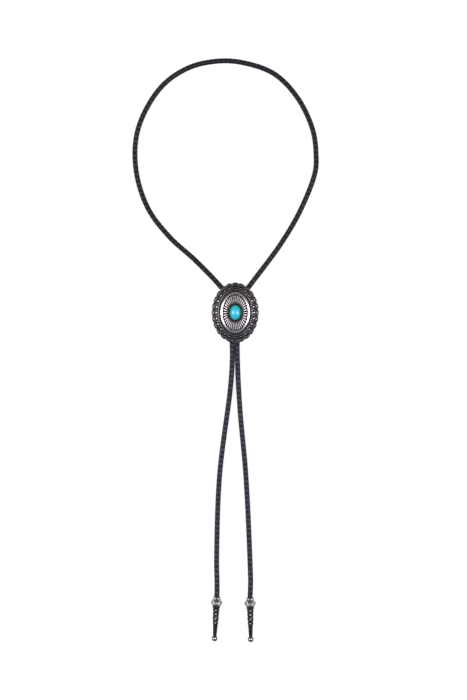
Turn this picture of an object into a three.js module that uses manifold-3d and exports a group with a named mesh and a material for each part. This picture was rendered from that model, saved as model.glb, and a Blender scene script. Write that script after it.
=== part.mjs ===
// Bolo tie: an oval cast concho with a turquoise cabochon, on one braided cord with two metal end tips.
// Millimetres, +Z up. The tie lies on its back on z = 0, and the origin is under the middle of the concho.
// +Y runs along the concho towards the neck loop, and the tips hang towards -Y.
import * as THREE from "three";
import { ParametricGeometry } from "three/addons/geometries/ParametricGeometry.js";
import { mergeVertices } from "three/addons/utils/BufferGeometryUtils.js";
import Module from "manifold-3d";

// Gap between two pieces that touch
const fitGap = 0.3;

// Cord
const cordDiameter = 4.4;
const cordSides = 8;
const cordSteps = 80;

// Hidden clip on the back of the concho
const clipLength = 22;
const clipWall = 0.8;
const clipCorner = 2;
const channelX = 4.6; // from the middle to each cord channel

// Concho: its ovals are given as full widths in X and full lengths in Y
const conchoWide = 38.6;
const conchoLong = 49.3;
const ringWide = 25; // outer edge of the polished ring
const ringLong = 34.4;
const ringBand = 2;
const lobeCount = 24;
const lobeNotch = 1.1; // how far the rim drops back between two lobes
const plateThick = 1.4; // the casting at the bottom of the border's grooves
const lobeRise = 1.1;
const beadRise = 0.8;
const fineRise = 0.55;
const ringRise = 1.5;
const domeRise = 1.7;
const fluteCount = 36;
const fluteDepth = 0.45;
const bezelWall = 0.8;
const bezelRise = 0.9; // the bezel stands this far above the dome's inner groove

// Cabochon
const stoneWide = 9;
const stoneLong = 12;
const stoneGirdle = 1; // straight side inside the bezel
const stoneDome = 2.8;

// End tips, measured along their axis from the mouth
const socketDepth = 6.5;
const mouthDiameter = 6;
const collarDiameter = 9;
const collarLength = 9.6;
const facetCount = 6;
const facetOut = 3.85; // from the tip's axis to each flat facet of the collar
const facetPlace = 0.485; // the middle of the facets, as a share of the collar's length
const facetDish = 0.4; // how deep a round hollow is sunk in each facet
const dishDiameter = 4.2;
const ropeDiameter = 6.1;
const ropeRise = 0.35;
const coneTop = 4.9;
const coneEnd = 2.86;
const coneLength = 22.3;
const scrollLength = 12; // the raised scrolls cover this much of the cone from its top
const scrollCount = 4;
const scrollRise = 0.3;
const scrollPitch = 7.3;
const berryPlace = 4.3; // the first berry, from the top of the cone
const ballDiameter = 4.8;

// What follows from the sizes above
const cordRadius = cordDiameter / 2;
const lying = cordRadius; // height of the cord's centre where it lies on the surface
const held = clipWall + fitGap + cordRadius; // and where it runs through the clip
const clipTop = 2 * held;
const conchoBack = clipTop + fitGap;
const ballPlace = collarLength + coneLength + ballDiameter * 0.45; // the ball overlaps the end of the cone
const facetMiddle = collarLength * facetPlace;
const facetEnd = collarLength * 0.63; // where a facet runs out towards the cone

// A tip lies on its lowest facet and on its ball, so its axis leans by this angle.
const tipReach = Math.hypot(facetOut, ballPlace - facetEnd);
const tipLean = Math.acos(ballDiameter / 2 / tipReach) - Math.atan2(ballPlace - facetEnd, facetOut);
const tipMouth = ballDiameter / 2 + ballPlace * Math.sin(tipLean);
const tipInside = tipMouth - socketDepth * Math.sin(tipLean);

// The cord's centreline, from the bottom of the left tip's socket round the neck to the right tip's.
const cordRoute = [
  [-15.3, -238.2, tipInside],
  [-14.95, -231.7, tipMouth],
  [-14.8, -221.0, 4.7],
  [-15.15, -203.0, 2.7],
  [-12.75, -132.8, lying],
  [-3.95, -61.7, lying],
  [-2.5, -38.5, lying],
  [-3.0, -22.6, 2.5],
  [-channelX, -11.9, held],
  [-channelX, 0, held],
  [-channelX, 11.8, held],
  [-13.2, 22.8, lying],
  [-32.6, 42.8, lying],
  [-54.1, 62.4, lying],
  [-71.5, 85.9, lying],
  [-81.1, 117.8, lying],
  [-79.1, 150.5, lying],
  [-64.0, 179.8, lying],
  [-39.1, 199.4, lying],
  [-16.5, 205.1, lying],
  [4.4, 204.4, lying],
  [31.7, 195.0, lying],
  [47.3, 180.0, lying],
  [63.4, 148.8, lying],
  [66.0, 128.7, lying],
  [65.2, 114.6, lying],
  [53.2, 83.6, lying],
  [37.3, 56.3, lying],
  [12.2, 22.5, lying],
  [channelX, 11.8, held],
  [channelX, 0, held],
  [channelX, -11.9, held],
  [2.1, -22.6, 2.5],
  [2.0, -38.5, lying],
  [3.85, -78.0, lying],
  [8.7, -132.7, lying],
  [12.1, -203.0, 2.7],
  [12.55, -221.0, 4.7],
  [12.15, -232.4, tipMouth],
  [12.25, -238.9, tipInside],
];

// Finishes
const darkSilver = new THREE.MeshStandardMaterial({ color: 0x6b6a6e, roughness: 0.35, metalness: 1 });
const tipSilver = new THREE.MeshStandardMaterial({ color: 0x5c5b60, roughness: 0.3, metalness: 1 });
const plainNickel = new THREE.MeshStandardMaterial({ color: 0x9a9a9c, roughness: 0.45, metalness: 1 });
const turquoise = new THREE.MeshStandardMaterial({ color: 0x27c3d6, roughness: 0.25, metalness: 0 });
const blackLeather = new THREE.MeshStandardMaterial({ color: 0x23222b, roughness: 0.6, metalness: 0 });

const wasm = await Module();
wasm.setup();

// A geometry as a manifold-3d solid, with its shared vertices merged.
function solidOf(geometry) {
  const bare = geometry.clone();
  bare.deleteAttribute("normal");
  bare.deleteAttribute("uv");
  const merged = mergeVertices(bare, 1e-4);
  const mesh = new wasm.Mesh({
    numProp: 3,
    vertProperties: merged.getAttribute("position").array,
    triVerts: new Uint32Array(merged.index.array),
  });
  return new wasm.Manifold(mesh);
}

// A manifold-3d solid as a geometry.
function geometryOf(solid) {
  const mesh = solid.getMesh();
  const geometry = new THREE.BufferGeometry();
  geometry.setAttribute("position", new THREE.BufferAttribute(new Float32Array(mesh.vertProperties), 3));
  geometry.setIndex(new THREE.BufferAttribute(new Uint32Array(mesh.triVerts), 1));
  geometry.computeVertexNormals();
  return geometry;
}

// A closed surface round the Z axis: place(turn, row, point) sets the point of a row, with turn from 0 to 1.
// The first and the last row lie on the axis, and the rows run from the bottom up the outside to the top.
function ringSurface(steps, rows, place) {
  const surface = (u, v, point) => {
    const step = (steps - Math.round(u * steps)) % steps;
    place(step / steps, Math.round(v * rows), point);
  };
  return new ParametricGeometry(surface, steps, rows);
}

// A round hump: 1 in the middle of each repeat and 0 between two repeats.
function hump(turn, count) {
  return Math.cos(Math.PI * turn * count) ** 2;
}

// Where a turn falls inside its repeat, from -1 through 0 in the middle to 1.
function acrossRepeat(turn, count) {
  const share = turn * count;
  return 2 * (share - Math.round(share));
}

// Sections of the concho from the middle of its back over the rim to the seat of the stone.
// between names two ovals, share is the way from one to the other, level the height above the groove as a
// share of rise, and carving says which repeat raises it.
const border = [
  { share: 0.0, level: 0.15, carving: "lobe" },
  { share: 0.09, level: 0.75, carving: "lobe" },
  { share: 0.21, level: 1.0, carving: "lobe" },
  { share: 0.34, level: 0.8, carving: "lobe" },
  { share: 0.44, level: 0.0, carving: "lobe" },
  { share: 0.55, level: 1.0, carving: "bead" },
  { share: 0.66, level: 0.0, carving: "bead" },
  { share: 0.79, level: 1.0, carving: "fine" },
  { share: 0.93, level: 0.0, carving: "fine" },
];
const ring = [
  { share: 0.0, level: 0.12 },
  { share: 0.2, level: 0.45 },
  { share: 0.6, level: 0.8 },
  { share: 1.0, level: 1.0 },
];
const dome = [
  { share: 0.03, level: -0.12, carved: 0 },
  { share: 0.14, level: 0.22, carved: 0.8 },
  { share: 0.36, level: 0.56, carved: 1 },
  { share: 0.62, level: 0.83, carved: 0.8 },
  { share: 0.88, level: 1.0, carved: 0.3 },
  { share: 1.0, level: 0.9, carved: 0 },
];

const carvings = {
  lobe: { rise: lobeRise, count: lobeCount },
  bead: { rise: beadRise, count: lobeCount * 2 },
  fine: { rise: fineRise, count: lobeCount * 3 },
};

const grooveTop = conchoBack + plateThick;
const ringTop = grooveTop + ringRise;
const domeTop = ringTop + domeRise;
const seatTop = domeTop - 0.4 * domeRise;
const stoneBase = seatTop + fitGap;
const bezelTop = domeTop + bezelRise;

const edgeOval = [conchoWide / 2, conchoLong / 2];
const ringOval = [ringWide / 2, ringLong / 2];
const ringInside = ringOval.map((half) => half - ringBand);
const seatOval = [stoneWide / 2 + fitGap, stoneLong / 2 + fitGap];
const bezelOval = seatOval.map((half) => half + bezelWall);

// An even spread of the lobes along the rim needs its angle shifted by this share of sin 2t.
const evenShift = (edgeOval[1] ** 2 - edgeOval[0] ** 2) / (4 * (edgeOval[0] ** 2 + edgeOval[1] ** 2));

function between(outer, inner, share) {
  return [0, 1].map((axis) => outer[axis] + (inner[axis] - outer[axis]) * share);
}

function onOval(half, turn, even, height, point) {
  const angle = 2 * Math.PI * turn;
  const shifted = angle + even * evenShift * Math.sin(2 * angle);
  point.set(half[0] * Math.sin(shifted), half[1] * Math.cos(shifted), height);
}

// The rim of a lobe is an arc: full width in its middle, lobeNotch less between two lobes.
function rimOval(turn) {
  const across = acrossRepeat(turn, lobeCount);
  const drop = lobeNotch * (1 - Math.sqrt(Math.max(0, 1 - across * across)));
  return edgeOval.map((half) => half - drop);
}

function conchoRows() {
  const rows = [];
  rows.push((turn, point) => point.set(0, 0, conchoBack));
  rows.push((turn, point) => onOval(rimOval(turn), turn, 1, conchoBack, point));
  for (const section of border) {
    const { rise, count } = carvings[section.carving];
    rows.push((turn, point) => {
      const height = grooveTop + rise * section.level * hump(turn, count);
      const half = between(rimOval(turn), ringOval, section.share);
      onOval(half, turn, 1, section.share === 0 ? height - plateThick / 2 : height, point);
    });
  }
  for (const section of ring) {
    rows.push((turn, point) => {
      const half = between(ringOval, ringInside, section.share);
      onOval(half, turn, 1 - section.share, grooveTop + ringRise * section.level, point);
    });
  }
  for (const section of dome) {
    rows.push((turn, point) => {
      const flute = fluteDepth * section.carved * (1 - hump(turn, fluteCount));
      const half = between(ringInside, bezelOval, section.share);
      onOval(half, turn, 0, ringTop + domeRise * section.level - flute, point);
    });
  }
  rows.push((turn, point) => onOval(bezelOval, turn, 0, bezelTop, point));
  rows.push((turn, point) => onOval(seatOval, turn, 0, bezelTop, point));
  rows.push((turn, point) => onOval(seatOval, turn, 0, seatTop, point));
  rows.push((turn, point) => point.set(0, 0, seatTop));
  return rows;
}

function makeConcho() {
  const rows = conchoRows();
  const steps = lobeCount * 6;
  const geometry = ringSurface(steps, rows.length - 1, (turn, row, point) => rows[row](turn, point));
  return new THREE.Mesh(geometry, darkSilver);
}

// Sections of the cabochon: the share of its half width, and the height above its girdle as a share of its dome.
function makeCabochon() {
  const domeRings = 5;
  const rows = [
    { share: 0, height: 0 },
    { share: 0.94, height: 0 },
    { share: 1, height: 0.2 * stoneGirdle },
  ];
  for (let ringNumber = 0; ringNumber <= domeRings; ringNumber += 1) {
    const lift = (Math.PI / 2) * (ringNumber / domeRings);
    const height = stoneGirdle + stoneDome * Math.sin(lift) ** 1.5;
    rows.push({ share: ringNumber === domeRings ? 0 : Math.cos(lift), height });
  }
  const geometry = ringSurface(36, rows.length - 1, (turn, row, point) => {
    const { share, height } = rows[row];
    const half = [(share * stoneWide) / 2, (share * stoneLong) / 2];
    onOval(half, turn, 0, stoneBase + height, point);
  });
  return new THREE.Mesh(geometry, turquoise);
}

// The surface under the tie holds the cord's centre up wherever the smooth line through its points would dip.
class CordOnSurface extends THREE.CatmullRomCurve3 {
  getPoint(share, point) {
    const place = super.getPoint(share, point);
    place.z = Math.max(place.z, lying);
    return place;
  }
}

const cordCurve = new CordOnSurface(cordRoute.map((row) => new THREE.Vector3(...row)));

// A tube along the cord, of the cord's own radius or of a clearance round it.
function alongCord(radius) {
  const section = new THREE.Shape();
  for (let side = 0; side < cordSides; side += 1) {
    const angle = (2 * Math.PI * side) / cordSides;
    const corner = [radius * Math.cos(angle), radius * Math.sin(angle)];
    if (side === 0) section.moveTo(...corner);
    else section.lineTo(...corner);
  }
  section.closePath();
  return new THREE.ExtrudeGeometry(section, {
    steps: cordSteps,
    extrudePath: cordCurve,
    bevelEnabled: false,
  });
}

function makeCord() {
  return new THREE.Mesh(alongCord(cordRadius), blackLeather);
}

// A block with rounded corners, drawn in X and Z and as long as the clip in Y, with the cord's two channels.
function makeClip() {
  const halfWide = channelX + cordRadius + fitGap + clipWall;
  const outline = new THREE.Shape();
  outline.moveTo(-halfWide + clipCorner, 0);
  outline.lineTo(halfWide - clipCorner, 0);
  outline.absarc(halfWide - clipCorner, clipCorner, clipCorner, -Math.PI / 2, 0);
  outline.absarc(halfWide - clipCorner, clipTop - clipCorner, clipCorner, 0, Math.PI / 2);
  outline.absarc(-halfWide + clipCorner, clipTop - clipCorner, clipCorner, Math.PI / 2, Math.PI);
  outline.absarc(-halfWide + clipCorner, clipCorner, clipCorner, Math.PI, 1.5 * Math.PI);
  const block = new THREE.ExtrudeGeometry(outline, { depth: clipLength, bevelEnabled: false, curveSegments: 4 });
  block.rotateX(Math.PI / 2);
  block.translate(0, clipLength / 2, 0);
  const cut = solidOf(block).subtract(solidOf(alongCord(cordRadius + fitGap)));
  return new THREE.Mesh(geometryOf(cut), plainNickel);
}

// The collar's radius: a round-shouldered barrel cut by flat facets, with a round dish sunk in each facet.
function collarRadiusAt(turn, down, barrel) {
  const angle = (acrossRepeat(turn, facetCount) * Math.PI) / facetCount;
  const out = Math.hypot(facetOut * Math.tan(angle), down - facetMiddle) / (dishDiameter / 2);
  const dish = facetDish * Math.max(0, 1 - out * out);
  return Math.min(barrel, facetOut / Math.cos(angle)) - dish;
}

// How far the scrolls stand out of the cone: down each quarter, berries with a slanted leaf between two of them.
function scrollRelief(turn, down) {
  const quarter = acrossRepeat(turn, scrollCount);
  const fromBerry = (down - berryPlace) / scrollPitch;
  const berryDown = (fromBerry - Math.round(fromBerry)) * 2;
  const berry = 1 - Math.hypot(quarter / 0.45, berryDown / 0.25);
  const fromLeaf = fromBerry + 0.5;
  const leafDown = (fromLeaf - Math.round(fromLeaf)) * 2;
  const leaf = 1 - Math.hypot((quarter - leafDown) / 0.45, leafDown / 0.6);
  return scrollRise * Math.min(1, 2 * Math.max(0, berry, leaf));
}

// Sections of a tip, listed from the bottom of its socket over the mouth and down to the end of the ball.
// down is the distance from the mouth, radius the plain radius there.
function tipRows() {
  const socketRadius = cordRadius + fitGap;
  const bottom = socketDepth + fitGap;
  const collarRadius = collarDiameter / 2;
  const rows = [
    { down: bottom, radius: 0 },
    { down: bottom, radius: socketRadius },
    { down: 0, radius: socketRadius },
    { down: 0, radius: mouthDiameter / 2 },
  ];
  const collar = [
    { share: 0.08, radius: 0.7 },
    { share: 0.17, radius: 0.75 },
    { share: 0.27, radius: 0.86 },
    { share: 0.37, radius: 0.95 },
    { share: facetPlace, radius: 1.0 },
    { share: 0.57, radius: 0.93 },
    { share: 0.66, radius: 0.82 },
    { share: 0.75, radius: 0.72 },
  ];
  for (const { share, radius } of collar) {
    rows.push({ down: share * collarLength, radius: radius * collarRadius, faceted: true });
  }
  const ropeRadius = ropeDiameter / 2 - ropeRise;
  rows.push({ down: 0.83 * collarLength, radius: ropeRadius, rope: 1 });
  rows.push({ down: 0.92 * collarLength, radius: ropeRadius, rope: 1 });
  rows.push({ down: collarLength, radius: coneTop / 2 });
  const scrollRings = 12;
  const coneRadius = (along) => (coneTop + (coneEnd - coneTop) * (along / coneLength) ** 1.35) / 2;
  for (let step = 1; step <= scrollRings; step += 1) {
    const along = (step / scrollRings) * scrollLength;
    rows.push({ down: collarLength + along, radius: coneRadius(along), scroll: step < scrollRings ? along : 0 });
  }
  const plainMiddle = (scrollLength + coneLength) / 2;
  rows.push({ down: collarLength + plainMiddle, radius: coneRadius(plainMiddle) });
  const ballRadius = ballDiameter / 2;
  const neckAngle = Math.asin(coneEnd / ballDiameter);
  const ballRings = 6;
  for (let step = 0; step <= ballRings; step += 1) {
    const angle = neckAngle + (Math.PI - neckAngle) * (step / ballRings);
    const radius = step === ballRings ? 0 : ballRadius * Math.sin(angle);
    rows.push({ down: ballPlace - ballRadius * Math.cos(angle), radius });
  }
  return rows.reverse();
}

// A tip along its own -Z from its mouth, with a facet towards its +Y.
function makeTip() {
  const rows = tipRows();
  const steps = facetCount * 4;
  const geometry = ringSurface(steps, rows.length - 1, (turn, row, point) => {
    const { down, radius, faceted = false, rope = 0, scroll = 0 } = rows[row];
    let raised = faceted ? collarRadiusAt(turn, down, radius) : radius;
    raised += ropeRise * rope * (Math.round(turn * steps) % 2);
    if (scroll > 0) raised += scrollRelief(turn, scroll);
    point.set(raised * Math.sin(2 * Math.PI * turn), raised * Math.cos(2 * Math.PI * turn), -down);
  });
  return new THREE.Mesh(geometry, tipSilver);
}

// Puts a tip on an end of the cord: its axis follows the cord's last stretch, and a facet faces up.
function seatTip(tip, end, beforeEnd) {
  const inward = new THREE.Vector3(...end).sub(new THREE.Vector3(...beforeEnd)).normalize();
  const back = inward.clone().negate();
  const across = new THREE.Vector3(0, 0, 1).cross(back).normalize();
  const up = back.clone().cross(across);
  tip.quaternion.setFromRotationMatrix(new THREE.Matrix4().makeBasis(across, up, back));
  tip.position.set(...end).addScaledVector(inward, -socketDepth);
  return tip;
}

const boloTie = new THREE.Group();
const pieces = {
  concho: makeConcho(),
  cabochon: makeCabochon(),
  slide_clip: makeClip(),
  cord: makeCord(),
  tip_left: seatTip(makeTip(), cordRoute[0], cordRoute[1]),
  tip_right: seatTip(makeTip(), cordRoute.at(-1), cordRoute.at(-2)),
};
for (const [name, mesh] of Object.entries(pieces)) {
  mesh.name = name;
  boloTie.add(mesh);
}

export default boloTie;
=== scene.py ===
import bpy
import numpy as np
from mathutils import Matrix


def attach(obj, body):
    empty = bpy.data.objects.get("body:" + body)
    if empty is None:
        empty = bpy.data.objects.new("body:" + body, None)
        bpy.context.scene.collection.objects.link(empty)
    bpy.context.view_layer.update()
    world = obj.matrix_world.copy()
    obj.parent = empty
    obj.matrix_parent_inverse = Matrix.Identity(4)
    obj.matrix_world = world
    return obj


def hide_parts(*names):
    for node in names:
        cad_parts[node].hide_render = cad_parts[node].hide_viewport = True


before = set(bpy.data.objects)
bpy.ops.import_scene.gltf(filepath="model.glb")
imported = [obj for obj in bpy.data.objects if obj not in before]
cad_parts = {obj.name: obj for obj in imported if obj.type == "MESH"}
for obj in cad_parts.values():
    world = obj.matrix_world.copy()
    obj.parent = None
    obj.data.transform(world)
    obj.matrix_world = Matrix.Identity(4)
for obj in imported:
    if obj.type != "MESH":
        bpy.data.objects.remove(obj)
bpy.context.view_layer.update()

toMetres = 0.001
turnRound = 2 * np.pi

# What the photograph shows of its own scale: the frame in pixels, and where the concho's middle is in it
photo = {
    "wide": 467,
    "high": 700,
    "mmPerPixel": 0.816,
    "conchoX": 235.2,
    "conchoY": 312.75,
    "cameraHeight": 1800,
    "sensor": 36,
}

cord = {
    "diameter": 4.4,
    "lying": 2.2,  # height of its centre on the surface
    "held": 3.3,  # and in the clip
    "channelX": 4.6,
    "tipMouth": 4.157,
    "tipInside": 3.822,
    "samplesPerPoint": 60,
    "pathPoints": 800,
}

# Four flat strands, two wound each way, that pass over and under each other round a thin core
braid = {
    "pitch": 7.8,
    "strandWide": 3.2,
    "strandThick": 1.1,
    "middleRadius": 1.51,
    "swing": 0.24,  # how far a strand moves out over a crossing and in under the next
    "stepsPerTurn": 22,
    "sides": 8,
    "squareAcross": 0.5,  # powers that square a strand's section, and less is squarer
    "squareOut": 0.6,
    "crownPaintedHighlight": 0.72,  # how bright a crown is painted as a highlight, and how much that changes from over to under, darker under a crossing as painted shade
    "overUnderPaintedShade": 0.28,
    "coreRadius": 0.55,
    "coreSteps": 700,
    "coreSides": 6,
}


def cordPoints():
    # The route of the cord's centre: the part's own, with the loop's two top corners and the start of the
    # tails moved a little towards the photograph
    lying, held, channelX = cord["lying"], cord["held"], cord["channelX"]
    tipMouth, tipInside = cord["tipMouth"], cord["tipInside"]
    return np.array([
        [-15.3, -238.2, tipInside],
        [-14.95, -231.7, tipMouth],
        [-14.8, -221.0, 4.7],
        [-15.15, -203.0, 2.7],
        [-12.75, -132.8, lying],
        [-3.95, -61.7, lying],
        [-2.4, -38.5, lying],
        [-2.75, -22.6, 2.5],
        [-channelX, -11.9, held],
        [-channelX, 0, held],
        [-channelX, 11.8, held],
        [-13.2, 22.8, lying],
        [-32.6, 42.8, lying],
        [-54.1, 62.4, lying],
        [-71.5, 85.9, lying],
        [-81.1, 117.8, lying],
        [-79.1, 150.5, lying],
        [-61.0, 183.5, lying],
        [-39.1, 199.4, lying],
        [-16.5, 205.1, lying],
        [4.4, 204.4, lying],
        [31.7, 195.0, lying],
        [51.2, 174.9, lying],
        [63.4, 148.8, lying],
        [66.0, 128.7, lying],
        [65.2, 114.6, lying],
        [53.2, 83.6, lying],
        [37.3, 56.3, lying],
        [12.2, 22.5, lying],
        [channelX, 11.8, held],
        [channelX, 0, held],
        [channelX, -11.9, held],
        [1.95, -22.6, 2.5],
        [1.83, -38.5, lying],
        [3.85, -78.0, lying],
        [8.7, -132.7, lying],
        [12.1, -203.0, 2.7],
        [12.55, -221.0, 4.7],
        [12.15, -232.4, tipMouth],
        [12.25, -238.9, tipInside],
    ])


def cubicStep(u, start, leaving, end, arriving):
    # The cubic that goes from start to end while u goes from 0 to 1, with these slopes at its two ends
    return (
        (2 * u**3 - 3 * u**2 + 1) * start
        + (u**3 - 2 * u**2 + u) * leaving
        + (3 * u**2 - 2 * u**3) * end
        + (u**3 - u**2) * arriving
    )


def smoothLine(points, samples, lowest):
    # A centripetal Catmull-Rom curve through the points, as the part's source draws it, and nowhere below
    # lowest
    before = 2 * points[0] - points[1]
    after = 2 * points[-1] - points[-2]
    p = np.vstack([before, points, after])
    gap = np.sqrt(np.linalg.norm(np.diff(p, axis=0), axis=1))[:, None]
    gapBefore, gapHere, gapAfter = gap[:-2], gap[1:-1], gap[2:]
    a, b, c, d = p[:-3], p[1:-2], p[2:-1], p[3:]
    leaving = ((b - a) / gapBefore - (c - a) / (gapBefore + gapHere) + (c - b) / gapHere) * gapHere
    arriving = ((c - b) / gapHere - (d - b) / (gapHere + gapAfter) + (d - c) / gapAfter) * gapHere
    u = np.linspace(0, 1, samples, endpoint=False)[None, :, None]
    line = cubicStep(u, *(x[:, None, :] for x in (b, leaving, c, arriving)))
    line = np.vstack([line.reshape(-1, 3), points[-1:]])
    line[:, 2] = np.maximum(line[:, 2], lowest)
    return line


class Along:
    # A line measured by its length, with the sideways and upward directions at each place on it
    def __init__(self, line):
        self.line = line
        steps = np.linalg.norm(np.diff(line, axis=0), axis=1)
        self.place = np.concatenate([[0], np.cumsum(steps)])
        self.length = self.place[-1]
        forward = np.gradient(line, self.place, axis=0)
        self.forward = forward / np.linalg.norm(forward, axis=1, keepdims=True)

    def at(self, place, values=None):
        values = self.line if values is None else values
        return np.stack([np.interp(place, self.place, values[:, axis]) for axis in range(3)], axis=-1)

    def tube(self, place, angle, radius):
        # The point at this angle and radius round the line: 0 is sideways and a quarter turn is up
        forward = self.at(place, self.forward)
        sideways = np.cross(forward, [0, 0, 1])
        sideways /= np.linalg.norm(sideways, axis=-1, keepdims=True)
        upward = np.cross(sideways, forward)
        cosine, sine = np.cos(angle)[..., None], np.sin(angle)[..., None]
        return self.at(place) + radius[..., None] * (cosine * sideways + sine * upward)


def facesOf(rows, columns):
    # A skin's faces as numbers of its points: quads between its rows, and a fan of triangles round the middle
    # of the first row and of the last. The two middles are numbered after all the others.
    index = np.empty((rows + 2, columns + 1), dtype=int)
    index[1:-1, :-1] = np.arange(rows * columns).reshape(rows, columns)
    index[0] = rows * columns
    index[-1] = rows * columns + 1
    index[:, -1] = index[:, 0]
    here, over = index[:, :-1], index[:, 1:]
    quads = [here[1:-2], here[2:-1], over[2:-1], over[1:-2]]
    startFan = [here[0], here[1], over[1]]
    endFan = [here[-2], here[-1], over[-2]]
    return [np.stack([corner.ravel() for corner in face], axis=1) for face in (quads, startFan, endFan)]


def meshOf(name, skins, wearAndLightBySkin=None):
    # One mesh of several closed skins. A skin is points[row, column] that closes round its columns, and each
    # end row closes on its own middle, so a row of one repeated point becomes a pole. Faces point outwards.
    # The last argument holds for each skin how far each of its points is rubbed bright, with painted light
    # and shade added into the same value.
    points, loops, sizes = [], [], []
    used = 0
    for skin in skins:
        corners = np.vstack([skin.reshape(-1, 3), skin[0].mean(axis=0), skin[-1].mean(axis=0)])
        faces = facesOf(*skin.shape[:2])
        a, b, c, d = (corners[faces[0][:, side]] for side in range(4))
        insideOut = np.sum(a * np.cross(b, c)) + np.sum(a * np.cross(c, d)) < 0
        for face in faces:
            loops.append(used + (face[:, ::-1] if insideOut else face).ravel())
            sizes.append(np.full(len(face), face.shape[1]))
        points.append(corners)
        used += len(corners)
    points = np.vstack(points) * toMetres
    loops, sizes = np.concatenate(loops), np.concatenate(sizes)
    starts = np.concatenate([[0], np.cumsum(sizes)[:-1]])
    mesh = bpy.data.meshes.new(name)
    mesh.vertices.add(len(points))
    mesh.vertices.foreach_set("co", points.astype(np.float32).ravel())
    mesh.loops.add(len(loops))
    mesh.loops.foreach_set("vertex_index", loops.astype(np.int32))
    mesh.polygons.add(len(sizes))
    mesh.polygons.foreach_set("loop_start", starts.astype(np.int32))
    mesh.polygons.foreach_set("use_smooth", np.ones(len(sizes), dtype=bool))
    mesh.update(calc_edges=True)
    if wearAndLightBySkin is not None:
        rubbedAndLit = [np.append(worn.ravel(), [worn[0].mean(), worn[-1].mean()]) for worn in wearAndLightBySkin]
        values = np.concatenate(rubbedAndLit).astype(np.float32)
        mesh.attributes.new("worn", "FLOAT", "POINT").data.foreach_set("value", values)
    piece = bpy.data.objects.new(name, mesh)
    bpy.context.scene.collection.objects.link(piece)
    print(name, len(sizes), "faces")
    return piece


def placeCamera():
    # The camera looks straight down at the middle of the photograph's frame
    middleX = (photo["wide"] / 2 - photo["conchoX"]) * photo["mmPerPixel"]
    middleY = (photo["conchoY"] - photo["high"] / 2) * photo["mmPerPixel"]
    data = bpy.data.cameras.new("camera")
    data.sensor_width = photo["sensor"]
    distance = photo["cameraHeight"] - cord["lying"]
    data.lens = photo["sensor"] * distance / (photo["high"] * photo["mmPerPixel"])
    data.clip_start = 0.01
    data.clip_end = 20
    camera = bpy.data.objects.new("camera", data)
    camera.location = np.array([middleX, middleY, photo["cameraHeight"]]) * toMetres
    bpy.context.scene.collection.objects.link(camera)
    bpy.context.scene.camera = camera
    print("camera placed, lens", round(data.lens, 1))


def strandSkin(along, sign, phase):
    # A flat strand wound round the line: its middle turns one way at an even pitch and swings out and in
    # twice a turn. Its section is a rounded bar laid across it on the winding's own surface.
    pitch, middle = braid["pitch"], braid["middleRadius"]
    steps = int(along.length / pitch * braid["stepsPerTurn"])
    place = np.linspace(0, along.length, steps)[:, None]
    section = turnRound * (np.arange(braid["sides"]) + 0.5)[None, :] / braid["sides"]
    cosine, sine = np.cos(section), np.sin(section)
    across = braid["strandWide"] / 2 * np.sign(cosine) * np.abs(cosine) ** braid["squareAcross"]
    outward = braid["strandThick"] / 2 * np.sign(sine) * np.abs(sine) ** braid["squareOut"]
    lean = np.arctan2(turnRound * middle, pitch)
    over = sign * np.cos(2 * turnRound * place / pitch)  # 1 where it passes over, -1 where it passes under
    angle = phase + sign * turnRound * place / pitch + across * np.cos(lean) / middle
    radius = middle + braid["swing"] * over + outward
    where = place - sign * across * np.sin(lean)
    # painted light: each strand's crown carries a painted highlight, its edges painted shade, and it is
    # painted darker where it passes under another
    crown = np.clip(outward * 2 / braid["strandThick"], 0, 1) * np.abs(sine)
    worn = (braid["crownPaintedHighlight"] + braid["overUnderPaintedShade"] * over) * crown
    return along.tube(where, angle, radius), worn


def coreSkin(along):
    # A plain round tube along the line that closes the braid's middle
    place = np.linspace(0, along.length, braid["coreSteps"])[:, None]
    around = turnRound * np.arange(braid["coreSides"])[None, :] / braid["coreSides"]
    flat = 0 * (place + around)
    return along.tube(place + flat, around + flat, braid["coreRadius"] + flat), flat


def makeBraid(along):
    strands = [strandSkin(along, sign, phase) for sign in (1, -1) for phase in (0, np.pi)]
    skins, wearAndLightBySkin = zip(*strands, coreSkin(along))
    piece = meshOf("braided_cord", skins, wearAndLightBySkin)
    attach(piece, "root")
    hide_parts("cord")
    return piece


class Nodes:
    # The nodes of a material or a world: make adds one, with its settings first and then its sockets
    def __init__(self, owner, outputKind="OutputMaterial"):
        owner.use_nodes = True
        self.owner = owner
        self.tree = owner.node_tree
        self.tree.nodes.clear()
        self.output = self.tree.nodes.new("ShaderNode" + outputKind)

    def make(self, kind, settings=None, output=0, **sockets):
        node = self.tree.nodes.new("ShaderNode" + kind)
        for key, value in (settings or {}).items():
            if key == "stops":
                setStops(node, value)
            else:
                setattr(node, key, value)
        for key, value in sockets.items():
            self.feed(node, key, value)
        return Value(self, node.outputs[output])

    def feed(self, node, key, value):
        # A socket goes by its name, with _ for a space, or as n and its number
        if key[0] == "n" and key[1:].isdigit():
            socket = node.inputs[int(key[1:])]
        else:
            socket = node.inputs[key.replace("_", " ")]
        if isinstance(value, Value):
            self.tree.links.new(value.socket, socket)
        else:
            socket.default_value = value

    def finish(self, shader):
        self.tree.links.new(shader.socket, self.output.inputs["Surface"])
        return self.owner


def setStops(node, stops):
    elements = node.color_ramp.elements
    while len(elements) < len(stops):
        elements.new(0.5)
    for element, (position, colour) in zip(elements, stops):
        element.position = position
        element.color = (*colour, 1)


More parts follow.
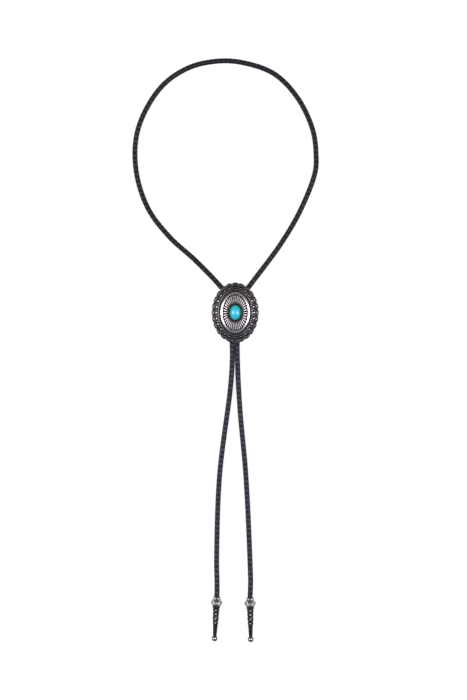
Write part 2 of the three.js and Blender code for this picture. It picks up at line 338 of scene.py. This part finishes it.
class Value:
    # A socket with arithmetic
    def __init__(self, nodes, socket):
        self.nodes = nodes
        self.socket = socket

    def math(self, operation, first, second):
        return self.nodes.make("Math", {"operation": operation}, n0=first, n1=second)

    def __add__(self, other):
        return self.math("ADD", self, other)

    def __radd__(self, other):
        return self.math("ADD", other, self)

    def __sub__(self, other):
        return self.math("SUBTRACT", self, other)

    def __rsub__(self, other):
        return self.math("SUBTRACT", other, self)

    def __mul__(self, other):
        return self.math("MULTIPLY", self, other)

    def __rmul__(self, other):
        return self.math("MULTIPLY", other, self)

    def clamped(self, low, high):
        # 0 at low and 1 at high, and no further either way
        return self.nodes.make("MapRange", {"clamp": True}, Value=self, From_Min=low, From_Max=high)


# Lamps and floor are in metres
studio = {
    "lampWide": 0.95,
    "lampLong": 0.76,
    "lampWatts": 28,
    "lampX": 0.93,
    "lampZ": 1.09,
    "floorGlow": 0.82,
    "floorGrey": (0.15, 0.15, 0.15, 1),
    "floorHalf": 10,
    "floorDown": 0.0001,  # keeps it from lying in one plane with what rests on it
    "room": 0.5,
    "coolLight": (0.62, 0.69, 1.0),
    "warmLight": (0.9, 0.74, 0.76),
}


def lightStudio():
    # Two softboxes beside the camera and a dim room, a little warm beyond the loop and cool beyond the tips
    scene = bpy.context.scene
    scene.view_settings.view_transform = "Standard"
    nodes = Nodes(bpy.data.worlds.new("studio"), "OutputWorld")
    lengthways = nodes.make("SeparateXYZ", output="Y", Vector=nodes.make("TexCoord", output="Generated"))
    stops = [(0, studio["coolLight"]), (1, studio["warmLight"])]
    tint = nodes.make("ValToRGB", {"stops": stops}, Fac=0.5 * lengthways + 0.5)
    scene.world = nodes.finish(nodes.make("Background", Color=tint, Strength=studio["room"]))
    for name, side in (("softboxLeft", -1), ("softboxRight", 1)):
        data = bpy.data.lights.new(name, "AREA")
        data.shape = "RECTANGLE"
        data.size = studio["lampWide"]
        data.size_y = studio["lampLong"]
        data.energy = studio["lampWatts"]
        lamp = bpy.data.objects.new(name, data)
        lamp.location = (side * studio["lampX"], 0, studio["lampZ"])
        lamp.rotation_euler = (0, side * np.arctan2(studio["lampX"], studio["lampZ"]), 0)
        lamp.visible_camera = False
        scene.collection.objects.link(lamp)
    print("studio lit")


def makeFloor():
    mesh = bpy.data.meshes.new("floor")
    half = studio["floorHalf"]
    corners = [(-half, -half, 0), (half, -half, 0), (half, half, 0), (-half, half, 0)]
    mesh.from_pydata(corners, [], [(0, 1, 2, 3)])
    floor = bpy.data.objects.new("floor", mesh)
    floor.location.z = -studio["floorDown"]
    bpy.context.scene.collection.objects.link(floor)
    nodes = Nodes(bpy.data.materials.new("pale_floor"))
    shader = nodes.make(
        "BsdfPrincipled",
        Base_Color=studio["floorGrey"],
        Roughness=0.9,
        Specular_IOR_Level=0.0,
        Emission_Color=(1, 1, 1, 1),
        Emission_Strength=studio["floorGlow"],
    )
    mesh.materials.append(nodes.finish(shader))
    print("floor laid")


# Ovals are full widths in X and full lengths in Y, as in the part's source
concho = {
    "wide": 38.6,
    "long": 49.3,
    "ringWide": 25,
    "ringLong": 34.4,
    "ringBand": 2,
    "lobes": 24,
    "lobeNotch": 1.1,
    "back": 6.9,
    "plate": 1.4,
    "lobeRise": 1.1,
    "beadRise": 0.8,
    "fineRise": 0.55,
    "ringRise": 1.5,
    "domeRise": 1.7,
    "flutes": 36,
    "fluteDepth": 0.45,
    "grooveWide": 0.7,  # between the ring and the flutes
    "fluteRound": 0.6,  # how much further in a flute's edge starts than its middle
    "bezelWall": 0.8,
    "bezelRise": 0.9,
    "bezelSunk": 0.17,  # how far its foot is under the dome's top
    "seatSunk": 0.68,  # and the stone's seat
    "fitGap": 0.3,
    "steps": 720,  # a whole number for each lobe, bead, fine bead and flute
    "lobeRows": 34,
    "beadRows": 20,
    "ringRows": 13,
    "fluteRows": 30,
}

# Shares of the way from the rim in to the ring, and shares of half a lobe's width for what is across
border = {
    "lobesEnd": 0.44,
    "beadsEnd": 0.66,
    "fineEnd": 0.96,
    "beadMiddle": 0.55,
    "beadHalf": 0.105,
    "longBeadAcross": 0.6,
    "shortBeadAcross": 0.34,
    "shortBeadRise": 0.85,
    "fineMiddle": 0.79,
    "fineHalf": 0.1,
    "fineAcross": 0.84,  # of half a fine bead's own room
    "finePerLobe": 3,
    "shells": 2.55,  # ridges in one radius of a lobe's fan
}

# How far each part of the concho is rubbed bright, from 0 to 1, with painted light and shade in the same
# values:
# the border is painted brightest at its left and right, where the softboxes stand, the flutes are painted
# brighter at the top and bottom ends, and the bezel is kept dark as painted shade round the stone.
conchoWearAndLight = {
    "back": 0.35,
    "lobes": 0.6,
    "beads": 0.75,
    "fine": 0.7,
    "rim": 0.35,
    "ring": 0.9,
    "flutes": 0.62,
    "flutesPaintedLightByEnd": 0.16,
    "bezel": 0.06,
    "paintedSideLightLeast": 0.32,
    "paintedSideLightMore": 0.95,
}

stone = {"wide": 9, "long": 12, "girdle": 1, "dome": 2.8, "steps": 160, "rows": 48}

# The concho's ovals as half widths and half lengths, its heights, and the turn round it
edge = np.array([concho["wide"], concho["long"]]) / 2
ring = np.array([concho["ringWide"], concho["ringLong"]]) / 2
ringInside = ring - concho["ringBand"]
seat = np.array([stone["wide"], stone["long"]]) / 2 + concho["fitGap"]
bezel = seat + concho["bezelWall"]
groove = concho["back"] + concho["plate"]
ringTop = groove + concho["ringRise"]
domeTop = ringTop + concho["domeRise"]
seatTop = domeTop - concho["seatSunk"]
conchoTurn = (np.arange(concho["steps"]) / concho["steps"])[None, :]
conchoAngle = turnRound * conchoTurn
evenShift = (edge[1] ** 2 - edge[0] ** 2) / (4 * (edge[0] ** 2 + edge[1] ** 2))


def acrossRepeat(turn, count):
    # Where a turn falls in its repeat, from -1 through 0 in the middle to 1
    share = turn * count
    return 2 * (share - np.round(share))


def roundTop(*out):
    # The height of a round bump of height 1, where out are distances from its middle as shares of its half
    # sizes
    return np.sqrt(np.maximum(0, 1 - sum(away**2 for away in out)))


def ridge(place, middle, half):
    # A soft ridge of height 1: a bell curve that is down to 0.37 at half from its middle
    return np.exp(-(((place - middle) / half) ** 2))


def easeAt(where, places, values):
    # A smooth line through the values: a cubic between each two places, with the values' own slope at each
    places, values = np.array(places), np.array(values)
    number = np.clip(np.searchsorted(places, where, side="right") - 1, 0, len(places) - 2)
    width = places[number + 1] - places[number]
    share = np.clip((where - places[number]) / width, 0, 1)
    slopes = np.gradient(values, places)
    leaving, arriving = width * slopes[number], width * slopes[number + 1]
    return cubicStep(share, values[number], leaving, values[number + 1], arriving)


# Lobes are 0 in the middle and -1 or 1 in the notches, which draw the rim in
lobe = acrossRepeat(conchoTurn, concho["lobes"])
edgeX = edge[0] - concho["lobeNotch"] * (1 - roundTop(lobe))
edgeY = edge[1] - concho["lobeNotch"] * (1 - roundTop(lobe))


def ovalRows(halfX, halfY, even, height):
    # x is a sine and y a cosine of the turn. Where even is 1, the turn is shifted so that each lobe and bead
    # is about as long as the next.
    shifted = conchoAngle + even * evenShift * np.sin(2 * conchoAngle)
    x, y = halfX * np.sin(shifted), halfY * np.cos(shifted)
    return np.stack([x, y, height + 0 * x], axis=-1)


def conchoBack():
    # Ovals that grow from the middle to the rim, all at one height
    share = np.array([[0.02], [0.5], [0.9], [0.985]])
    rows = ovalRows(share * edgeX, share * edgeY, 1, concho["back"])
    return rows, conchoWearAndLight["back"] + 0 * rows[..., 0]


def conchoBorder():
    # From the rim in to the ring, raised above a flat groove by shell lobes with two ridges each, by long and
    # short beads that are halves of ellipsoids, and by fine beads, which are smaller ones
    c, b, w = concho, border, conchoWearAndLight
    toLobes = np.linspace(0, b["lobesEnd"], c["lobeRows"])
    toBeads = np.linspace(b["lobesEnd"], b["beadsEnd"], c["beadRows"])[1:]
    toFine = np.linspace(b["beadsEnd"], b["fineEnd"], c["beadRows"])[1:]
    share = np.concatenate([toLobes, toBeads, toFine])[:, None]
    onLobe = share < b["lobesEnd"]
    deep = 1 - share / b["lobesEnd"]  # from the lobe's foot to the rim
    level = easeAt(share, [0, 0.09, 0.21, 0.34, b["lobesEnd"]], [0.15, 0.75, 1, 0.8, 0])
    mound = np.cos(np.pi / 2 * lobe) ** 1.2
    fan = np.hypot(lobe, 1.05 * deep - 0.12)
    ridges = 0.5 + 0.5 * np.cos(turnRound * (fan * b["shells"] - 0.12))
    lobes = c["lobeRise"] * level * mound * (0.72 + 0.28 * ridges) * onLobe
    beadIn = (share - b["beadMiddle"]) / b["beadHalf"]
    longBead = roundTop(lobe / b["longBeadAcross"], beadIn)
    shortBead = b["shortBeadRise"] * roundTop((1 - np.abs(lobe)) / b["shortBeadAcross"], beadIn)
    bead = np.maximum(longBead, shortBead)
    fineAcross = acrossRepeat(conchoTurn, c["lobes"] * b["finePerLobe"]) / b["fineAcross"]
    fine = 1.15 * roundTop(fineAcross, (share - b["fineMiddle"]) / b["fineHalf"])
    rimRound = c["plate"] / 2 * np.maximum(0, 1 - share / 0.03) ** 2
    height = groove + lobes + c["beadRise"] * bead + c["fineRise"] * fine - rimRound
    # painted light: the border is made brighter towards its left and right, where the softboxes stand, and
    # dimmer at its top and bottom ends
    paintedLightBySide = w["paintedSideLightLeast"] + w["paintedSideLightMore"] * np.abs(np.sin(conchoAngle)) ** 1.5
    worn = w["lobes"] * level * mound * ridges**2 * onLobe
    worn = worn + w["beads"] * bead**2 + w["fine"] * np.clip(fine, 0, 1) ** 2
    worn = worn + w["rim"] * np.maximum(0, 1 - share / 0.09)
    halfX = edgeX + (ring[0] - edgeX) * share
    halfY = edgeY + (ring[1] - edgeY) * share
    return ovalRows(halfX, halfY, 1, height), worn * paintedLightBySide


def conchoRing():
    # A flat band that climbs inwards and is rounded at its outer edge
    share = np.linspace(0, 1, concho["ringRows"])[:, None]
    level = easeAt(share, [0, 0.2, 0.6, 1], [0.12, 0.45, 0.8, 1])
    halfX, halfY = ring[0] - concho["ringBand"] * share, ring[1] - concho["ringBand"] * share
    rows = ovalRows(halfX, halfY, 1 - share, groove + concho["ringRise"] * level)
    return rows, conchoWearAndLight["ring"] * np.clip(share / 0.2, 0, 1) + 0 * conchoTurn


def conchoFlutes():
    # A dome from the ring to the bezel, cut into round-topped flutes whose outer ends are rounded by starting
    # further in at their edges. A groove of one width lies between the ring and their ends.
    c, w = concho, conchoWearAndLight
    share = np.linspace(0.02, 0.985, c["fluteRows"])[:, None]
    flute = acrossRepeat(conchoTurn, c["flutes"])
    acrossDome = ringInside - bezel
    reach = np.hypot(acrossDome[0] * np.sin(conchoAngle), acrossDome[1] * np.cos(conchoAngle))
    inward = np.maximum(0, share * reach - c["fluteRound"] * (1 - share) * flute**2)
    grooveShare = 0.15
    inGroove = grooveShare * inward / c["grooveWide"]
    pastGroove = grooveShare + (1 - grooveShare) * (inward - c["grooveWide"]) / (reach - c["grooveWide"])
    local = np.where(inward < c["grooveWide"], inGroove, pastGroove)
    level = easeAt(
        local,
        [0, 0.05, 0.15, 0.36, 0.62, 0.88, 0.94, 1],
        [0, -0.28, 0.24, 0.56, 0.83, 1, 0.97, 0.9],
    )
    carved = easeAt(local, [0, 0.06, 0.13, 0.36, 0.62, 0.88, 0.94, 1], [0, 0, 0.85, 1, 0.95, 0.7, 0.3, 0])
    cut = c["fluteDepth"] * carved * (1 - roundTop(flute))
    halfX = ringInside[0] - acrossDome[0] * share
    halfY = ringInside[1] - acrossDome[1] * share
    # painted light: the flutes are made brighter towards the concho's top and bottom ends
    worn = (w["flutes"] + w["flutesPaintedLightByEnd"] * np.cos(conchoAngle) ** 2) * np.clip(carved, 0, 1)
    # the flutes' grooves are dark with patina, and the flutes darken towards the bezel as painted shade round
    # the stone
    worn = worn * np.clip(1 - 1.8 * flute**2, 0, 1) * np.clip((0.98 - share) / 0.35, 0, 1)
    return ovalRows(halfX, halfY, 0, ringTop + c["domeRise"] * level - cut), np.clip(worn, 0, 1)


def conchoBezel():
    # A rolled wall, from its foot on the dome up and over to the stone, as shares of its thickness and height
    inward = np.array([0, 0, 0.03, 0.15, 0.35, 0.62, 0.86, 0.97])[:, None]
    up = np.array([0, 0.5, 0.8, 0.95, 1, 0.97, 0.86, 0.7])[:, None]
    height = domeTop - concho["bezelSunk"] + up * (concho["bezelRise"] + concho["bezelSunk"])
    halfX, halfY = bezel[0] - inward * concho["bezelWall"], bezel[1] - inward * concho["bezelWall"]
    # painted shade: the bezel is kept near black and darkest at its foot, round the stone
    return ovalRows(halfX, halfY, 0, height), conchoWearAndLight["bezel"] * up + 0 * conchoTurn


def conchoSeat():
    # A flat oval under the stone
    share = np.array([[1], [0.05]])
    rows = ovalRows(share * seat[0], share * seat[1], 0, seatTop)
    return rows, 0 * rows[..., 0]


def makeConcho():
    # One skin from the middle of the back over the rim to the seat of the stone
    parts = [conchoBack(), conchoBorder(), conchoRing(), conchoFlutes(), conchoBezel(), conchoSeat()]
    skin, worn = (np.concatenate(rows) for rows in zip(*parts))
    piece = meshOf("cast_concho", [skin], [worn])
    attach(piece, "root")
    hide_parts("concho")
    return piece


def makeCabochon():
    # An oval dome: the share of the half width falls as a cosine while the height rises as a sine
    turn = (np.arange(stone["steps"]) / stone["steps"])[None, :]
    base = seatTop + concho["fitGap"]
    lift = np.linspace(0, np.pi / 2 * 0.985, stone["rows"])[:, None]
    share = np.concatenate([[[0.5], [0.94], [0.985]], np.cos(lift)])
    domed = stone["girdle"] + stone["dome"] * np.sin(lift) ** 1.5
    height = np.concatenate([[[0], [0], [0.12]], domed]) + base
    x = share * stone["wide"] / 2 * np.sin(turnRound * turn)
    y = share * stone["long"] / 2 * np.cos(turnRound * turn)
    piece = meshOf("turquoise_cabochon", [np.stack([x, y, height + 0 * x], axis=-1)])
    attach(piece, "root")
    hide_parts("cabochon")
    return piece


# End tips, measured from the mouth along the tip
tip = {
    "socketDepth": 6.5,
    "socketRadius": 2.5,
    "endGap": 0.3,
    "mouthRadius": 3.0,
    "mouthFlare": 0.12,
    "mouthRound": 0.1,
    "collarLength": 9.6,
    "collarRadius": 4.5,
    "facets": 6,
    "facetOut": 3.85,  # from the tip's axis to each facet
    "facetMiddle": 4.656,
    "facetSoft": 0.12,
    "facetDish": 0.4,
    "dishRadius": 2.1,
    "rimRise": 0.16,
    "pipRise": 0.3,
    "brightTo": 7.0,  # the collar is black from here on
    "ropeFrom": 0.79,  # shares of the collar's length
    "ropeOver": 0.2,
    "ropeRadius": 2.85,
    "ropeBulge": 0.15,
    "ropeRise": 0.245,
    "ropeTwists": 12,
    "coneTop": 2.45,
    "coneEnd": 1.43,
    "coneLength": 22.3,
    "scrolls": 4,
    "scrollEnd": 13,
    "scrollRise": 0.3,
    "scrollPitch": 7.3,
    "berryPlace": 4.3,
    "ballRadius": 2.4,
    "ballPlace": 34.06,
    "steps": 192,
    "collarRows": 60,
    "ropeRows": 16,
    "coneRows": 90,
    "ballRows": 40,
}

tipTurn = (np.arange(tip["steps"]) / tip["steps"])[None, :]


def tipSocket():
    # The hole for the cord: from its bottom up its wall and out over the rounded mouth
    t = tip
    bottom, inner, mouth = t["socketDepth"] + t["endGap"], t["socketRadius"], t["mouthRadius"]
    flared, soft = inner + t["mouthFlare"], t["mouthRound"]
    down = np.array([[bottom], [bottom], [0.3], [0], [0], [soft]])
    radius = np.array([[0.1], [inner], [inner], [flared], [mouth - soft], [mouth]]) + 0 * tipTurn
    return down, radius, 0.1 + 0 * radius


def tipCollar():
    # A barrel cut by flat facets. Each holds a round dish that is a parabola, with a fine rim and a pip.
    t = tip
    down = np.linspace(0.02, 0.78, t["collarRows"])[:, None] * t["collarLength"]
    barrel = t["collarRadius"] * easeAt(
        down / t["collarLength"],
        [0, 0.08, 0.17, 0.27, 0.37, 0.485, 0.57, 0.66, 0.75, 0.8],
        [0.66, 0.7, 0.75, 0.86, 0.95, 1.0, 0.93, 0.82, 0.72, 0.64],
    )
    fromFacet = acrossRepeat(tipTurn, t["facets"]) * np.pi / t["facets"]
    out = np.hypot(t["facetOut"] * np.tan(fromFacet), down - t["facetMiddle"]) / t["dishRadius"]
    flat = t["facetOut"] / np.cos(fromFacet) + 0 * down
    soft, apart = t["facetSoft"], np.abs(barrel - flat)
    joined = np.where(apart < soft, (soft - apart) ** 2 / (4 * soft), 0)
    rim, pip = ridge(out, 1.02, 0.1), ridge(out, 0, 0.17)
    dish = t["facetDish"] * np.maximum(0, 1 - out**2) - t["rimRise"] * rim - t["pipRise"] * pip
    bright = np.clip(t["brightTo"] - down, 0, 1)
    upFacet = np.abs(acrossRepeat(tipTurn, 1)) < 1 / t["facets"]
    # painted reflection: the side facets, which face the softboxes and the floor, are made light, and the
    # upward facet dark round its dish
    facetPaintedLight = np.where(upFacet, 0.2 + 0.45 * (out < 1), 0.9)
    worn = bright * (facetPaintedLight + 0.5 * rim + 0.3 * pip - 0.2 * ridge(out, 0.6, 0.2))
    return down, np.minimum(barrel, flat) - joined - dish, worn


def tipRope():
    # A ring that bulges as a sine, with slanting twists raised on it
    t = tip
    share = np.linspace(0, 1, t["ropeRows"])[:, None]
    down = (t["ropeFrom"] + t["ropeOver"] * share) * t["collarLength"]
    bulge = np.sin(np.pi * share) ** 0.5
    twist = 0.5 + 0.5 * np.cos(turnRound * (t["ropeTwists"] * tipTurn + 0.5 * share))
    waist = t["ropeRadius"] + (t["coneTop"] - t["ropeRadius"]) * share
    radius = waist + t["ropeBulge"] * bulge + t["ropeRise"] * bulge * twist
    return down, radius, 0.1 * bulge * twist**3


def tipCone():
    # A cone that narrows as a power of its length, with round berries and veined leaves by turns in each
    # quarter, between raised edgings
    t = tip
    down = np.linspace(0, 1, t["coneRows"])[:, None] * t["coneLength"]
    cone = t["coneTop"] + (t["coneEnd"] - t["coneTop"]) * (down / t["coneLength"]) ** 1.35
    quarter = acrossRepeat(tipTurn, t["scrolls"])
    fromBerry = (down - t["berryPlace"]) / t["scrollPitch"]
    berry = roundTop(quarter / 0.42, acrossRepeat(fromBerry, 1) / 0.22)
    leafDown = acrossRepeat(fromBerry + 0.5, 1)
    vein = 1 - 0.6 * ridge(quarter - leafDown, 0, 0.1)
    leaf = roundTop((quarter - leafDown) / 0.45, leafDown / 0.6) * vein
    edging = 0.5 * ridge(np.abs(quarter), 0.86, 0.1)
    fading = np.clip((t["scrollEnd"] - down) / 0.8, 0, 1) * np.clip(down / 0.5, 0, 1)
    radius = cone + t["scrollRise"] * fading * np.maximum(np.maximum(berry, leaf), edging)
    worn = 0.9 * fading * np.clip(np.maximum(berry, leaf * 0.8) * 1.3 - 0.3, 0, 1)
    return t["collarLength"] + down, radius, worn


def tipBall():
    # A sphere from the cone's end, painted brighter round its widest part, where the softboxes' highlights
    # fall, and darker towards its neck and its end as painted shade
    t = tip
    neck = np.arcsin(t["coneEnd"] / t["ballRadius"])
    angle = np.linspace(neck, np.pi * 0.985, t["ballRows"])[:, None]
    down = t["ballPlace"] - t["ballRadius"] * np.cos(angle)
    radius = t["ballRadius"] * np.sin(angle) + 0 * tipTurn
    return down, radius, 0.1 + 0.55 * np.sin(angle) ** 6 + 0 * tipTurn


def tipSkin(end, beforeEnd):
    # The parts' turned profile laid along the cord's last stretch, with a facet up
    parts = [tipSocket(), tipCollar(), tipRope(), tipCone(), tipBall()]
    down, radius, worn = (np.concatenate(rows) for rows in zip(*parts))
    inward = (beforeEnd - end) / np.linalg.norm(beforeEnd - end)
    across = np.cross([0, 0, 1], inward)
    across /= np.linalg.norm(across)
    upward = np.cross(inward, across)
    mouth = end + inward * tip["socketDepth"]
    sine, cosine = np.sin(turnRound * tipTurn)[..., None], np.cos(turnRound * tipTurn)[..., None]
    return mouth - down[..., None] * inward + radius[..., None] * (sine * across + cosine * upward), worn


def makeTip(name, node, end, beforeEnd):
    skin, worn = tipSkin(end, beforeEnd)
    piece = meshOf(name, [skin], [worn])
    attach(piece, "root")
    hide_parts(node)
    return piece


conchoFinish = {
    "light": (0.42, 0.40, 0.40),
    "middle": (0.14, 0.13, 0.135),
    "dark": (0.018, 0.016, 0.018),
    "dullest": 0.47,
    "brightest": 0.2,
}

tipFinish = {
    "light": (0.48, 0.46, 0.46),
    "middle": (0.14, 0.13, 0.14),
    "dark": (0.018, 0.016, 0.018),
    "dullest": 0.36,
    "brightest": 0.14,
}


def agedSilver(name, finish):
    # Cast metal with blackened hollows: the rubbed tops are bright and smooth, the hollows dark and dull, and
    # painted light and shade come in with the wear value
    nodes = Nodes(bpy.data.materials.new(name))
    place = nodes.make("TexCoord", output="Object")
    cloud = nodes.make("TexNoise", Vector=place, Scale=420.0, Detail=4.0, Roughness=0.6)
    grain = nodes.make("TexNoise", Vector=place, Scale=2600.0, Detail=3.0)
    worn = nodes.make("Attribute", {"attribute_name": "worn"}, output=2)
    wearAndLight = (worn + 0.3 * (cloud - 0.5)).clamped(0.0, 1.0)
    stops = [(0, finish["dark"]), (0.5, finish["middle"]), (1, finish["light"])]
    colour = nodes.make("ValToRGB", {"stops": stops}, Fac=wearAndLight)
    roughness = finish["dullest"] + (finish["brightest"] - finish["dullest"]) * wearAndLight + 0.06 * cloud
    bump = nodes.make("Bump", Strength=0.25, Distance=0.00003, Height=grain * 0.6 + cloud * 0.4)
    shader = nodes.make("BsdfPrincipled", Base_Color=colour, Roughness=roughness, Metallic=1.0, Normal=bump)
    return nodes.finish(shader)


stoneFinish = {
    "middle": (0.02, 0.25, 0.37),
    "between": (0.014, 0.25, 0.31),
    "edge": (0.008, 0.19, 0.165),
    "vein": (0.10, 0.12, 0.08, 1),
}


def turquoiseStone():
    # Blue in the middle and greener to its edge, faintly clouded, with a few thin pale brown veins
    nodes = Nodes(bpy.data.materials.new("polished_turquoise"))
    place = nodes.make("TexCoord", output="Object")
    halfWide, halfLong = stone["wide"] / 2 * toMetres, stone["long"] / 2 * toMetres
    flat = nodes.make("Mapping", Vector=place, Scale=(1 / halfWide, 1 / halfLong, 0))
    fromMiddle = nodes.make("VectorMath", {"operation": "LENGTH"}, output="Value", n0=flat)
    cloud = nodes.make("TexNoise", Vector=place, Scale=330.0, Detail=5.0, Roughness=0.55)
    stops = [(0.2, stoneFinish["middle"]), (0.62, stoneFinish["between"]), (1, stoneFinish["edge"])]
    colour = nodes.make("ValToRGB", {"stops": stops}, Fac=fromMiddle + 0.5 * (cloud - 0.5))
    vein = nodes.make("TexVoronoi", {"feature": "DISTANCE_TO_EDGE"}, Vector=place, Scale=190.0)
    thin = (1 - vein.clamped(0.0, 0.035)) * cloud.clamped(0.52, 0.66) * 0.35
    mixed = nodes.make("Mix", {"data_type": "RGBA"}, output=2, n0=thin, n6=colour, n7=stoneFinish["vein"])
    roughness = 0.2 + 0.1 * cloud
    shader = nodes.make("BsdfPrincipled", Base_Color=mixed, Roughness=roughness, Specular_IOR_Level=0.4)
    return nodes.finish(shader)


leather = {
    "creaseShade": (0.0005, 0.0005, 0.001),
    "strands": (0.0038, 0.0036, 0.0064),
    "crownHighlight": (0.0265, 0.0238, 0.041),
    "loopPaintedShade": 0.62,  # how bright the loop is left under its painted shade, where the tails are 1
    "tailsFrom": 0.03,  # metres above the concho's middle, where the loop's painted shade is whole, and as far below it, where the tails have none
}


def braidedLeather():
    # Blue-black leather strands with a fine grain and a low waxed sheen, with painted shade towards their
    # edges and under the crossings and painted highlights on their crowns
    nodes = Nodes(bpy.data.materials.new("blue_black_leather"))
    worn = nodes.make("Attribute", {"attribute_name": "worn"}, output=2)
    place = nodes.make("TexCoord", output="Object")
    grain = nodes.make("TexNoise", Vector=place, Scale=1900.0, Detail=5.0, Roughness=0.65)
    pores = nodes.make("TexVoronoi", Vector=place, Scale=2600.0)
    patches = nodes.make("TexNoise", Vector=place, Scale=340.0, Detail=3.0)
    lengthways = nodes.make("SeparateXYZ", output="Y", Vector=place)
    outsideLoopShade = lengthways.clamped(leather["tailsFrom"], -leather["tailsFrom"])  # 0 on the loop, under its painted shade, and 1 on the tails
    # painted shade: the loop is made darker than the tails
    rubbedAndLit = worn * (0.35 + patches) * (leather["loopPaintedShade"] + (1 - leather["loopPaintedShade"]) * outsideLoopShade)
    shade = (rubbedAndLit + 0.55 * (grain - 0.5)).clamped(0.0, 1.0)
    # painted shade in the creases, the strands' own blue-black, and a painted highlight on the crowns
    stops = [(0, leather["creaseShade"]), (0.4, leather["strands"]), (1, leather["crownHighlight"])]
    colour = nodes.make("ValToRGB", {"stops": stops}, Fac=shade)
    relief = grain * 0.7 + pores.clamped(0.0, 0.5) * 0.3
    bump = nodes.make("Bump", Strength=0.6, Distance=0.00009, Height=relief)
    shader = nodes.make(
        "BsdfPrincipled",
        Base_Color=colour,
        Roughness=0.4 + 0.2 * grain,
        Specular_IOR_Level=0.12,
        Coat_Weight=0.16 * (worn * patches),
        Coat_Roughness=0.3,
        Normal=bump,
    )
    return nodes.finish(shader)


def satinNickel():
    # The hidden clip's plated sheet, with fine brushed lines along it
    nodes = Nodes(bpy.data.materials.new("satin_nickel"))
    place = nodes.make("TexCoord", output="Object")
    brushed = nodes.make("Mapping", Vector=place, Scale=(3000, 120, 3000))
    lines = nodes.make("TexNoise", Vector=brushed, Scale=1.0, Detail=3.0)
    colour = nodes.make("ValToRGB", {"stops": [(0, (0.26, 0.26, 0.27)), (1, (0.42, 0.42, 0.43))]}, Fac=lines)
    bump = nodes.make("Bump", Strength=0.2, Distance=0.00002, Height=lines)
    roughness = 0.3 + 0.2 * lines
    shader = nodes.make("BsdfPrincipled", Base_Color=colour, Roughness=roughness, Metallic=1.0, Normal=bump)
    return nodes.finish(shader)


placeCamera()
route = cordPoints()
along = Along(smoothLine(route, cord["samplesPerPoint"], cord["lying"]))
print("cord length", round(along.length, 1))
cordPiece = makeBraid(along)
conchoPiece = makeConcho()
cabochonPiece = makeCabochon()
tips = [
    makeTip("metal_tip_left", "tip_left", route[0], route[1]),
    makeTip("metal_tip_right", "tip_right", route[-1], route[-2]),
]
cordPiece.data.materials.append(braidedLeather())
conchoPiece.data.materials.append(agedSilver("aged_silver", conchoFinish))
cabochonPiece.data.materials.append(turquoiseStone())
tipMetal = agedSilver("dark_tip_silver", tipFinish)
for tipPiece in tips:
    tipPiece.data.materials.append(tipMetal)
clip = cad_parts["slide_clip"]
clip.data.materials.clear()
clip.data.materials.append(satinNickel())
print("finishes given")
lightStudio()
makeFloor()
